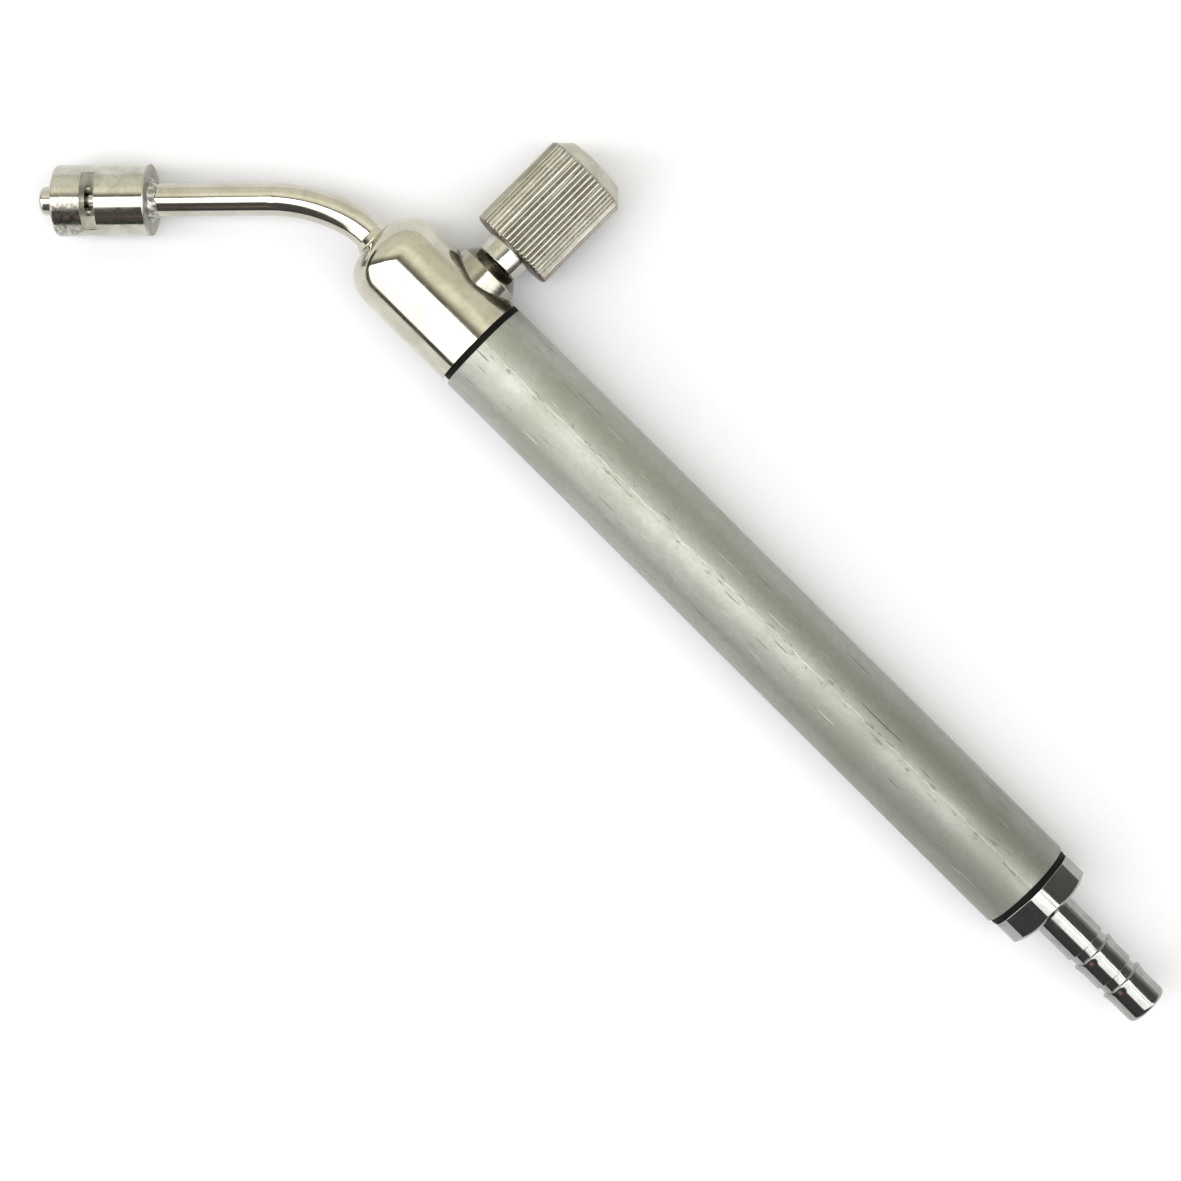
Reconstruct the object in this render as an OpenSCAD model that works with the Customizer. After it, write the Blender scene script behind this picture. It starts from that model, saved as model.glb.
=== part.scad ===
// Hand-held siphon and filling wand, in millimetres: a grip with a hose tail, a needle valve worked
// by a knob, and a bent spout that ends in a foot valve, which opens while its button is pressed in.
// The origin is the centre of the grip tube. +X runs along the grip to the hose tail, +Y points to
// the knob, and +Z is normal to both.

/* [Grip] */
// Length of the grip tube
grip_length = 148.6; // [90:0.2:220]
// Outside diameter of the grip tube, the valve body and the turned corners of the hexagon
grip_od = 20; // [20:0.5:21.5]
// Wall of the grip tube
grip_wall = 1.5; // [1:0.1:2]
// Thickness of each end washer
washer_thickness = 1.3; // [0.8:0.1:3]
// How far a washer's rim stands back from the grip's surface
washer_setback = 0.4; // [0.1:0.1:0.8]
// How far the spigots of the valve body and the hose tail reach into the grip
spigot_length = 8; // [4:0.5:15]
// Outside diameter of the feed pipe inside the grip
feed_od = 8; // [7:0.5:9]
// Bore of the feed pipe
feed_bore = 6; // [5:0.5:6]
// Thickness of the seal at each end of the feed pipe
feed_seal = 1; // [0.6:0.1:1.2]

/* [Valve body] */
// Length from the front washer to the flat front of the dome
body_length = 28.2; // [25:0.1:40]
// Radius of the dome's shoulder
dome_radius = 6.5; // [3:0.1:6.5]
// Distance from the front washer to the boss's axis
boss_offset = 8.1; // [7.2:0.1:10]
// Diameter of the boss
boss_od = 13.6; // [12:0.1:14]
// Height above the grip's axis where the boss starts to taper
boss_height = 10.75; // [10.3:0.05:12]
// Length of the boss's taper
boss_taper = 2.35; // [1:0.05:4]
// Diameter of the boss's flat top
boss_top_od = 9.8; // [8:0.1:11]
// Depth of the sockets of the feed pipe below the end faces of the grip's washers
feed_socket = 2.5; // [1.5:0.1:2.6]
// Depth of the spout pipe's socket in the dome
pipe_socket = 4; // [2:0.1:6]

/* [Needle valve] */
// Diameter of the spindle's shaft
shaft_d = 6; // [5.6:0.1:6.4]
// Gap between a turning or sliding piece and the bore that guides it
running_gap = 0.05; // [0.02:0.01:0.08]
// Bore of the inlet, the outlet and the needle's seat
passage_d = 2.4; // [1.6:0.1:2.4]
// Height of the needle's seat above the grip's axis
seat_height = 0.8; // [0.8:0.1:1.2]
// Height of the lower end of the spindle's shaft
shaft_bottom = 4.4; // [4:0.1:5]
// Diameter of the needle
needle_d = 2.5; // [2.4:0.05:2.8]
// Slope of the needle's cone to its axis
needle_slope = 20; // [15:1:30]
// Rise of the needle from shut to fully open
needle_rise = 2.5; // [1:0.1:2.8]
// Thickness of the clip that holds the needle in the spindle
clip_thickness = 0.5; // [0.4:0.05:0.6]
// Outside diameter of that clip
clip_d = 3.9; // [3.6:0.1:4.2]
// Thickness of the spindle's sealing ring
oring_d = 0.82; // [0.7:0.02:0.9]

/* [Knob] */
// Diameter of the smooth hub between the boss and the knob
hub_d = 9.5; // [8:0.1:12]
// Length of the hub
hub_length = 3.8; // [2:0.1:8]
// Gap between the boss and the hub with the valve shut
hub_gap = 0.2; // [0.1:0.05:0.5]
// Diameter of the knob over its knurl
knob_d = 18.2; // [16:0.1:26]
// Length of the knob
knob_length = 23.3; // [22:0.1:30]
// Number of knurl ridges
knurl_count = 54; // [36:1:72]
// Depth of the knurl
knurl_depth = 0.42; // [0.2:0.02:0.6]
// Chamfer at the knob's outer end
knob_chamfer = 2.9; // [0.5:0.1:3]
// Chamfer at the knob's inner end
knob_base_chamfer = 0.5; // [0.2:0.1:1]
// Length of the spindle's stub inside the knob
stub_length = 16; // [12:0.5:17]
// Diameter of the knob's screw
screw_d = 3; // [2:0.5:4]
// Diameter of the screw's head
screw_head_d = 6.8; // [5.5:0.1:8]

/* [Spout] */
// Outside diameter of the spout pipe
pipe_od = 6.5; // [5.5:0.1:6.8]
// Bore of the spout pipe
pipe_bore = 4.5; // [3:0.1:4.6]
// Straight length between the dome and the first bend
lead_length = 1.6; // [1.6:0.1:20]
// Radius of the tighter first bend
first_radius = 17; // [12:0.5:40]
// Angle of the first bend
first_angle = 17; // [5:1:40]
// Radius of the second bend
second_radius = 34; // [20:0.5:60]
// Angle of the second bend
second_angle = 28; // [5:1:40]
// Straight length between the second bend and the head
straight_length = 23.2; // [5:0.1:80]
// Roll of the spout's plane about the grip's axis, away from the knob's plane
spout_roll = 11.5; // [0:0.5:20]

/* [Head] */
// Diameter of the head
head_d = 14; // [13:0.5:18]
// Length of the head
head_length = 18.8; // [18:0.2:24]
// Rounding of the head's front edge
head_round = 0.5; // [0.2:0.1:1]
// Depth of the windows' front edge behind the head's front
window_depth = 6; // [5.5:0.1:6.5]
// Width of the windows along the head
window_width = 2.85; // [1.5:0.05:2.9]
// Radius of the disc that the windows are cut with
cutter_radius = 6.2; // [5:0.1:7]
// Distance of the windows' floors from the head's axis, at their deepest
window_floor = 0.6; // [0.4:0.1:2]
// Bore of the window chamber
chamber_d = 6.4; // [6:0.1:7]
// Bore of the foot valve's seat
seat_bore = 4.6; // [4:0.1:5]
// Thickness of the foot valve's seat
seat_thickness = 1; // [0.8:0.1:1.2]
// Bore of the rear chamber, which the end cap closes
rear_chamber_d = 9; // [8.6:0.1:10]
// Thickness of the end cap
cap_thickness = 2.2; // [2:0.1:2.4]
// Depth of the pipe's socket in the end cap
cap_socket = 1.4; // [0.6:0.1:1.4]

/* [Foot valve] */
// Diameter of the button
button_d = 5.6; // [4.5:0.1:5.6]
// How far the button stands out of the head at rest
button_out = 3.4; // [2.5:0.1:5]
// Length of the button inside the head at rest
button_in = 3.9; // [3:0.1:4.4]
// Rounding of the button's front edge
button_round = 1; // [0.3:0.1:1.5]
// Diameter of the plunger's stem
stem_d = 3.1; // [2.6:0.1:3.4]
// Diameter of the plunger's tail, which carries the disc and the nut
tail_d = 2; // [1.6:0.1:2.2]
// Diameter of the valve disc and its seal
disc_d = 7.2; // [6:0.1:7.6]
// Thickness of the rubber seal
seal_thickness = 0.5; // [0.4:0.1:0.8]
// Thickness of the valve disc
disc_thickness = 0.8; // [0.6:0.1:1]
// Width of the nut over its flats
nut_width = 4; // [3.2:0.1:4.4]
// Thickness of the nut
nut_thickness = 1; // [0.8:0.1:1.4]
// Diameter of the spring's wire
wire_d = 0.5; // [0.3:0.05:0.5]
// Mean diameter of the spring
spring_d = 6.2; // [5.8:0.1:6.6]
// Turns of the spring
spring_turns = 4.5; // [3:0.5:4.5]

/* [Hose tail] */
// Width of the hexagon over its flats
hex_width = 19; // [18.5:0.1:19.8]
// Length of the hexagon
hex_length = 5.6; // [3:0.1:10]
// Chamfer of the hexagon's outer end
hex_chamfer = 0.8; // [0.3:0.1:1.2]
// Diameter of the barb
barb_d = 9; // [7.6:0.1:10]
// Length of the barb
barb_length = 27.1; // [24:0.1:40]
// Rounding of the barb's end
barb_round = 0.9; // [0.3:0.1:1.4]
// Bore of the hose tail
tail_bore = 5.6; // [4:0.1:5.8]
// Diameter of the two ridges that hold the hose
ridge_d = 9.5; // [9.1:0.1:10]
// Distance from the hexagon to the first ridge
ridge_start = 11.7; // [8:0.1:13]
// Distance between the ridges
ridge_pitch = 7.9; // [6:0.1:8]
// Length of each ridge's taper
ridge_taper = 1.8; // [1:0.1:3]
// Width of the groove behind each ridge
groove_width = 2; // [1:0.1:3]
// Depth of that groove
groove_depth = 0.45; // [0.2:0.05:0.8]

/* [Hidden] */
$fn = 96;
cut = 0.5;                                  // how far a cutting shape runs past a face
spigot_d = grip_od - 2 * grip_wall;
washer_od = grip_od - 2 * washer_setback;
body_rear = -grip_length / 2 - washer_thickness;
hex_start = -body_rear;
hex_end = hex_start + hex_length;
dome_front = body_rear - body_length;
boss_x = body_rear - boss_offset;
boss_top = boss_height + boss_taper;
feed_end = -body_rear + feed_socket;        // bottom of the feed pipe's socket, at both ends
inlet_height = seat_height + passage_d / 2 + 0.2;
outlet_height = seat_height - passage_d / 2 - 0.9;
shaft_bore = shaft_d + 2 * running_gap;
hub_base = boss_top + hub_gap;
knob_base = hub_base + hub_length;
stub_top = knob_base + stub_length;
knob_top = knob_base + knob_length;
seat_touch = passage_d / 2 - running_gap;   // radius of the needle's cone level with its seat
needle_shoulder = seat_height + (needle_d / 2 - seat_touch) / tan(needle_slope);
needle_tip_d = 0.8;
needle_tip = seat_height - (seat_touch - needle_tip_d / 2) / tan(needle_slope);
needle_top = shaft_bottom + 3.5;
swivel_top = needle_top + 0.3;
clip_low = shaft_bottom + 1.3;
clip_neck = 1.6;                            // diameter of the needle's neck inside the clip
clip_play = 0.1;                            // end play of the clip in the spindle
clip_mouth = 1.3;                           // opening of the clip
oring_groove = 1.2;                         // width of the groove of the sealing ring
oring_low = boss_top - needle_rise - oring_groove - 0.5;
oring_mean_d = shaft_bore - oring_d - 0.02;
screw_head = 2.2;                           // height of the screw's head
screw_recess = 3;                           // depth of the recess for the screw's head
screw_bite = 8;                             // length of the screw inside the spindle
screw_slot = 0.9;                           // width and depth of the screw's slot
heading_a = 180 + first_angle;
heading_b = heading_a + second_angle;
bend_a_start = [dome_front - lead_length, 0, 0];
bend_a_centre = bend_a_start + toward(270, first_radius);
bend_b_start = bend_a_centre + toward(heading_a - 90, first_radius);
bend_b_centre = bend_b_start + toward(heading_a + 90, second_radius);
bend_b_end = bend_b_centre + toward(heading_b - 90, second_radius);
head_front = bend_b_end + toward(heading_b, straight_length + head_length);
solder_width = 0.9;                         // how far the solder spreads from the pipe
solder_length = 1.5;                        // how far the solder climbs along the pipe
solder_edge = 0.15;                         // thickness of the solder at its thin end
guide_depth = 5;                            // depth of the bore that guides the button
window_end = window_depth + window_width;
seat_back = window_end + seat_thickness;    // rear face of the foot valve's seat
cap_front = head_length - cap_thickness;
seal_front = seat_back + running_gap;
disc_front = seal_front + seal_thickness;
disc_back = disc_front + disc_thickness;
nut_back = disc_back + nut_thickness;
tail_end = nut_back + 0.35;
coarse_step = 0.01;
wire_sides = 8;
rings_per_turn = 20;

// A step in the spout's plane, at an angle from +X
function toward(angle, length) = length * [cos(angle), sin(angle), 0];

// Round bar along +X, from x
module x_bar(x, length, d) {
    translate([x, 0, 0])
        rotate([0, 90, 0])
            cylinder(d = d, h = length);
}

// Ring along +X, from x
module x_ring(x, length, od, id) {
    difference() {
        x_bar(x, length, od);
        x_bar(x - cut, length + 2 * cut, id);
    }
}

// Places a shape on the boss's axis: its +Z becomes +Y, from height y above the grip's axis
module on_boss(y) {
    translate([boss_x, y, 0])
        rotate([-90, 0, 0])
            children();
}

// Round bar on the boss's axis, from height y
module y_bar(y, length, d) {
    on_boss(y)
        cylinder(d = d, h = length);
}

// Ring on the boss's axis, from height y
module y_ring(y, length, od, id) {
    difference() {
        y_bar(y, length, od);
        y_bar(y - cut, length + 2 * cut, id);
    }
}

// Places a shape on the head's axis: its +Z points out of the tip, from a depth behind the front
module on_head(depth) {
    rotate([spout_roll, 0, 0])
        translate(head_front)
            rotate([0, 0, heading_b])
                rotate([0, 90, 0])
                    translate([0, 0, -depth])
                        children();
}

// Round bar on the head's axis, between two depths behind the front
module head_bar(front, back, d) {
    on_head(back)
        cylinder(d = d, h = back - front);
}

// Ring on the head's axis, between two depths behind the front
module head_ring(front, back, od, id) {
    difference() {
        head_bar(front, back, od);
        head_bar(front - cut, back + cut, id);
    }
}

// Half outline of a round bar whose far edge is rounded
module rounded_bar(r, length, edge) {
    square([r, length - edge]);
    square([r - edge, length]);
    translate([r - edge, length - edge])
        intersection() {
            circle(edge);
            square(edge);
        }
}

// Half outline of the knob's ends: wider than the knurl between its two chamfers
module knob_ends() {
    r = knob_d / 2;
    polygon([
        [0, 0],
        [r - knob_base_chamfer, 0],
        [r + cut, knob_base_chamfer + cut],
        [r + cut, knob_length - knob_chamfer - cut],
        [r - knob_chamfer, knob_length],
        [0, knob_length]
    ]);
}

// Outline of the knurl: a star of shallow ridges
module knurl_outline() {
    polygon([
        for (i = [0 : 2 * knurl_count - 1])
            (knob_d / 2 - (i % 2) * knurl_depth) * [cos(180 * i / knurl_count), sin(180 * i / knurl_count)]
    ]);
}

// Half outline of the barb, from the hexagon to the hose end
module barb_outline() {
    difference() {
        union() {
            rounded_bar(barb_d / 2, barb_length, barb_round);
            for (i = [0, 1])
                translate([0, ridge_start + i * ridge_pitch])
                    polygon([[0, 0], [ridge_d / 2, 0], [barb_d / 2, ridge_taper], [0, ridge_taper]]);
        }
        for (i = [0, 1])
            translate([barb_d / 2 - groove_depth, ridge_start + i * ridge_pitch - groove_width])
                square([groove_depth + cut, groove_width]);
    }
}

// Moves by whole steps first and then by the rest, so that neighbouring pipe ends meet exactly
module move_exactly(place) {
    steps = [for (p = place) round(p / coarse_step) * coarse_step];
    translate(steps)
        translate(place - steps)
            children();
}

// Straight round bar in the spout's plane
module straight_bar(start, heading, length, d) {
    move_exactly(start)
        rotate([0, 0, heading])
            rotate([0, 90, 0])
                rotate([0, 0, -90])
                    cylinder(d = d, h = length);
}

// Bent round bar about a centre, from an angle about it
module bent_bar(centre, radius, from_angle, angle, d) {
    move_exactly(centre)
        rotate_extrude(angle = angle, start = from_angle)
            translate([radius, 0])
                circle(d = d);
}

// Round bar along the spout's whole route, which runs past both ends by extra
module spout_bar(d, extra) {
    straight_bar([dome_front + pipe_socket + extra, 0, 0], 180, pipe_socket + lead_length + extra, d);
    bent_bar(bend_a_centre, first_radius, 90, first_angle, d);
    bent_bar(bend_b_centre, second_radius, 90 + first_angle, second_angle, d);
    straight_bar(bend_b_end, heading_b, straight_length + cap_socket + extra, d);
}

// Ring of solder that thins out along the pipe, with its thick end at z = 0
module solder_ring() {
    difference() {
        cylinder(d1 = pipe_od + 2 * solder_width, d2 = pipe_od + 2 * solder_edge, h = solder_length);
        translate([0, 0, -cut])
            cylinder(d = pipe_od, h = solder_length + 2 * cut);
    }
}

// One ring of points round the spring's wire, at a share of the way along it
function wire_ring(share) =
    let (turn = 360 * spring_turns * share, height = wire_d / 2 + share * (cap_front - disc_back - wire_d))
    [
        for (k = [0 : wire_sides - 1])
            let (a = 360 * k / wire_sides, r = spring_d / 2 + wire_d / 2 * cos(a))
            [r * cos(turn), r * sin(turn), height + wire_d / 2 * sin(a)]
    ];

module grip_tube()
    color([0.73, 0.74, 0.70])
        x_ring(-grip_length / 2, grip_length, grip_od, spigot_d);

module front_washer()
    color([0.08, 0.08, 0.08])
        x_ring(body_rear, washer_thickness, washer_od, spigot_d);

module rear_washer()
    color([0.08, 0.08, 0.08])
        x_ring(grip_length / 2, washer_thickness, washer_od, spigot_d);

module valve_body()
    color([0.80, 0.78, 0.70])
        difference() {
            union() {
                translate([body_rear, 0, 0])
                    rotate([0, -90, 0])
                        rotate_extrude()
                            rounded_bar(grip_od / 2, body_length, dome_radius);
                x_bar(body_rear, washer_thickness + spigot_length, spigot_d);
                y_bar(0, boss_height, boss_od);
                on_boss(boss_height)
                    cylinder(d1 = boss_od, d2 = boss_top_od, h = boss_taper);
            }
            x_bar(-feed_end, feed_end, feed_od);
            translate([0, inlet_height, 0])
                x_bar(boss_x, -feed_end - boss_x + cut, passage_d);
            y_bar(seat_height, boss_top, shaft_bore);
            y_bar(outlet_height, seat_height - outlet_height + cut, passage_d);
            translate([0, outlet_height, 0])
                x_bar(dome_front + cut, boss_x - dome_front - cut, passage_d);
            x_bar(dome_front - cut, pipe_socket + cut, pipe_od);
        }

module feed_pipe()
    color([0.78, 0.62, 0.32])
        x_ring(feed_seal - feed_end, 2 * (feed_end - feed_seal), feed_od, feed_bore);

module front_pipe_seal()
    color([0.12, 0.12, 0.12])
        x_ring(-feed_end, feed_seal, feed_od, feed_bore);

module rear_pipe_seal()
    color([0.12, 0.12, 0.12])
        x_ring(feed_end - feed_seal, feed_seal, feed_od, feed_bore);

module hose_tail()
    color([0.80, 0.80, 0.78])
        difference() {
            union() {
                x_bar(hex_start - washer_thickness - spigot_length, washer_thickness + spigot_length, spigot_d);
                intersection() {
                    translate([hex_start, 0, 0])
                        rotate([0, 90, 0])
                            cylinder(d = hex_width / cos(30), h = hex_length, $fn = 6);
                    union() {
                        x_bar(hex_start, hex_length - hex_chamfer, grip_od);
                        translate([hex_end - hex_chamfer, 0, 0])
                            rotate([0, 90, 0])
                                cylinder(d1 = grip_od, d2 = grip_od - 3 * hex_chamfer, h = hex_chamfer);
                    }
                }
                translate([hex_end, 0, 0])
                    rotate([0, 90, 0])
                        rotate_extrude()
                            barb_outline();
            }
            x_bar(0, feed_end, feed_od);
            x_bar(feed_end - cut, hex_end + barb_length, tail_bore);
        }

module valve_needle()
    color([0.75, 0.60, 0.32])
        difference() {
            union() {
                y_bar(needle_shoulder, needle_top - needle_shoulder, needle_d);
                on_boss(needle_tip)
                    cylinder(d1 = needle_tip_d, d2 = needle_d, h = needle_shoulder - needle_tip);
            }
            y_ring(clip_low, clip_thickness, needle_d + cut, clip_neck);
        }

module needle_clip()
    color([0.55, 0.56, 0.58])
        difference() {
            y_ring(clip_low, clip_thickness, clip_d, clip_neck);
            translate([boss_x, clip_low - cut, -clip_mouth / 2])
                cube([clip_d, clip_thickness + 2 * cut, clip_mouth]);
        }

module spindle()
    color([0.80, 0.79, 0.73])
        difference() {
            union() {
                y_bar(shaft_bottom, stub_top - shaft_bottom, shaft_d);
                y_bar(hub_base, hub_length, hub_d);
            }
            y_ring(oring_low, oring_groove, shaft_d + cut, oring_mean_d - oring_d);
            y_bar(shaft_bottom - cut, swivel_top - shaft_bottom + cut, needle_d + 2 * running_gap);
            y_bar(clip_low - clip_play, clip_thickness + 2 * clip_play, clip_d + 2 * running_gap);
            y_bar(stub_top - screw_bite, screw_bite + cut, screw_d);
        }

module spindle_oring()
    color([0.12, 0.12, 0.12])
        on_boss(oring_low + oring_groove / 2)
            rotate_extrude()
                translate([oring_mean_d / 2, 0])
                    circle(d = oring_d);

module control_knob()
    color([0.76, 0.74, 0.66])
        difference() {
            intersection() {
                on_boss(knob_base)
                    linear_extrude(knob_length)
                        knurl_outline();
                on_boss(knob_base)
                    rotate_extrude()
                        knob_ends();
            }
            y_bar(knob_base - cut, stub_length + cut, shaft_d);
            y_bar(stub_top - cut, knob_length, screw_d + 2 * running_gap);
            y_bar(knob_top - screw_recess, screw_recess + cut, screw_head_d + 2 * cut);
        }

module knob_screw()
    color([0.62, 0.62, 0.60])
        difference() {
            union() {
                y_bar(stub_top - screw_bite, knob_top - screw_recess - stub_top + screw_bite, screw_d);
                y_bar(knob_top - screw_recess, screw_head, screw_head_d);
            }
            on_boss(knob_top - screw_recess + screw_head - screw_slot)
                translate([-screw_head_d, -screw_slot / 2, 0])
                    cube([2 * screw_head_d, screw_slot, screw_slot + cut]);
        }

module spout_pipe()
    color([0.80, 0.79, 0.72])
        rotate([spout_roll, 0, 0])
            difference() {
                spout_bar(pipe_od, 0);
                spout_bar(pipe_bore, cut);
            }

module spout_solder()
    color([0.70, 0.69, 0.64])
        translate([dome_front, 0, 0])
            rotate([0, -90, 0])
                solder_ring();

module head_solder()
    color([0.74, 0.73, 0.69])
        on_head(head_length)
            rotate([180, 0, 0])
                solder_ring();

module head_body()
    color([0.78, 0.77, 0.70])
        difference() {
            on_head(head_length)
                rotate_extrude()
                    rounded_bar(head_d / 2, head_length, head_round);
            head_bar(-cut, guide_depth + cut, button_d + 2 * running_gap);
            head_bar(guide_depth, window_end, chamber_d);
            head_bar(window_end - cut, seat_back + cut, seat_bore);
            head_bar(seat_back, head_length + cut, rear_chamber_d);
            for (side = [-1, 1])
                on_head(window_end)
                    translate([side * (cutter_radius + window_floor), 0, 0])
                        cylinder(r = cutter_radius, h = window_width);
        }

module head_end_cap()
    color([0.78, 0.62, 0.32])
        difference() {
            head_ring(cap_front, head_length, rear_chamber_d, pipe_bore);
            head_bar(head_length - cap_socket, head_length + cut, pipe_od);
        }

module foot_plunger()
    color([0.78, 0.77, 0.70])
        union() {
            on_head(button_in)
                rotate_extrude()
                    rounded_bar(button_d / 2, button_out + button_in, button_round);
            head_bar(button_in - cut, seal_front, stem_d);
            head_bar(seal_front - cut, tail_end, tail_d);
        }

module disc_seal()
    color([0.12, 0.12, 0.12])
        head_ring(seal_front, disc_front, disc_d, tail_d);

module valve_disc()
    color([0.75, 0.60, 0.32])
        head_ring(disc_front, disc_back, disc_d, tail_d);

module stem_nut()
    color([0.75, 0.60, 0.32])
        difference() {
            on_head(nut_back)
                cylinder(d = nut_width / cos(30), h = nut_thickness, $fn = 6);
            head_bar(disc_back - cut, nut_back + cut, tail_d);
        }

module foot_spring()
    color([0.60, 0.61, 0.63])
        on_head(cap_front) {
            rings = spring_turns * rings_per_turn;
            points = [for (i = [0 : rings]) each wire_ring(i / rings)];
            last = rings * wire_sides;
            walls = [
                for (i = [0 : rings - 1], k = [0 : wire_sides - 1])
                    let (a = i * wire_sides + k, b = i * wire_sides + (k + 1) % wire_sides)
                    each [[a, b, a + wire_sides], [b, b + wire_sides, a + wire_sides]]
            ];
            start_cap = [for (k = [wire_sides - 1 : -1 : 0]) k];
            end_cap = [for (k = [0 : wire_sides - 1]) last + k];
            polyhedron(points, concat(walls, [start_cap, end_cap]));
        }

grip_tube();
front_washer();
rear_washer();
valve_body();
feed_pipe();
front_pipe_seal();
rear_pipe_seal();
hose_tail();
valve_needle();
needle_clip();
spindle();
spindle_oring();
control_knob();
knob_screw();
spout_pipe();
spout_solder();
head_solder();
head_body();
head_end_cap();
foot_plunger();
disc_seal();
valve_disc();
stem_nut();
foot_spring();
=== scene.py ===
"""Looks of the hand-held siphon wand: satin grip, plated valve body, knurled knob, spout and head.

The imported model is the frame. Lengths here are in millimetres unless a name or a comment says
otherwise, and colours are linear red, green, blue and alpha.
"""
import math
import random

import bmesh
import bpy
from mathutils import Euler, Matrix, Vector, noise


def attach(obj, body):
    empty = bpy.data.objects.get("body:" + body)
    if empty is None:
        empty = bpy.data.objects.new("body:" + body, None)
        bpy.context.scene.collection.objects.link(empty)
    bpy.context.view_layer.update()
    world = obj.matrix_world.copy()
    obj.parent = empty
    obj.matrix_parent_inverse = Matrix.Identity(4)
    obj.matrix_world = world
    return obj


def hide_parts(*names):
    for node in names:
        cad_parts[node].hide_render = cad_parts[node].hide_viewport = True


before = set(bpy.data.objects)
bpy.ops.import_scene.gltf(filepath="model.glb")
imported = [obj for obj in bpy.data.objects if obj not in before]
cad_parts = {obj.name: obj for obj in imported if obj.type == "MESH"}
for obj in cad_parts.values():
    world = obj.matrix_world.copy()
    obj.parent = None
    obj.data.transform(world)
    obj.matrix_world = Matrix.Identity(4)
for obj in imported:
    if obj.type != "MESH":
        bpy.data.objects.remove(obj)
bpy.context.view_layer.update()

MM = 0.001
SEED = 528
GRIP_AXIS = (1, 0, 0)
KNOB_AXIS = (0, 1, 0)
ORIGIN = (0, 0, 0)

# Camera at the photograph's viewing angle
CAMERA_PLACE = (-0.03371, -0.02564, 0.65911)   # metres
CAMERA_TURN = (-0.0528, -0.8758, 44.7617)      # degrees
CAMERA_LENS = 103.22                           # lens length for the sensor below
SENSOR_WIDTH = 36.0

# The three points that the object rests on
HEAD_REST = (-153.5, -37.4, -14.72)
TAIL_REST = (81.0, 0.0, -10.05)
KNOB_REST = (-83.7, 37.5, -9.15)
FLOOR_HALF = 2500.0

# Rounding of edges on the finished pieces
WELD = 1e-6                  # metres
FLAT_ANGLE = math.radians(0.2)
EDGE_ANGLE = math.radians(29)
EDGE_SEGMENTS = 2

# Knob: its heights are measured along Y from its base
KNOB_X = -83.7
KNOB_CENTRE = (KNOB_X, 0, 0)
KNOB_BASE = 17.1
KNOB_TOP = 40.4
KNOB_LENGTH = KNOB_TOP - KNOB_BASE
KNOB_RADIUS = 9.1
KNOB_RIDGES = 54
RIDGE_DEPTH = 0.42
RIDGE_POINTS = 8
RIDGE_SHARPNESS = 0.8
RIDGE_WEAR = 0.14                                # most that a ridge's top is worn down
KNOB_CHAMFER = 2.9
KNOB_BASE_CHAMFER = 0.5
KNOB_BORE = 3.0
KNOB_STUB = 16.0
SCREW_BORE = 1.55
RECESS_RADIUS = 3.45
RECESS_DEPTH = 3.0
BASE_RINGS = (0.0, 0.12, 0.25, 0.38, 0.5, 0.65)  # heights of the rings across the base chamfer
KNURL_RINGS = 12
FADE_RINGS = 6                                   # close rings where the knurl runs out
FADE_STEP = 0.08
END_RINGS = (1.4, 0.7, 0.12)                     # distances of the last rings from the end face

# Boss
BOSS_RADIUS = 6.8
BOSS_CONE = 10.75

# Head: the centre of its front face, and the direction of its axis towards that face
SPOUT_BEND = math.radians(45)
SPOUT_ROLL = math.radians(11.5)
HEAD_FRONT = (-154.17, -38.13, -7.76)
HEAD_AXIS = (
    -math.cos(SPOUT_BEND),
    -math.sin(SPOUT_BEND) * math.cos(SPOUT_ROLL),
    -math.sin(SPOUT_BEND) * math.sin(SPOUT_ROLL),
)
HEAD_RADIUS = 7.0
HEAD_LENGTH = 18.8
WINDOW_MIDDLE = 7.42
WINDOW_HALF = 1.42
PITTED_SIDE = (0.42, -0.57, 0.70)                # the direction that the pitted patch faces

# Colours that more than one material uses
# The dark dirt colour is real dirt in pits and on the head, and painted shade round the boss on the
# valve body.
DIRT_AND_SHADE = (0.085, 0.075, 0.055, 1)
BARE = (0.88, 0.87, 0.82, 1)

WASHER_SHIFT = (0.0, 0.3, 0.0)   # the front washer sits a little off centre, towards the knob


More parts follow.
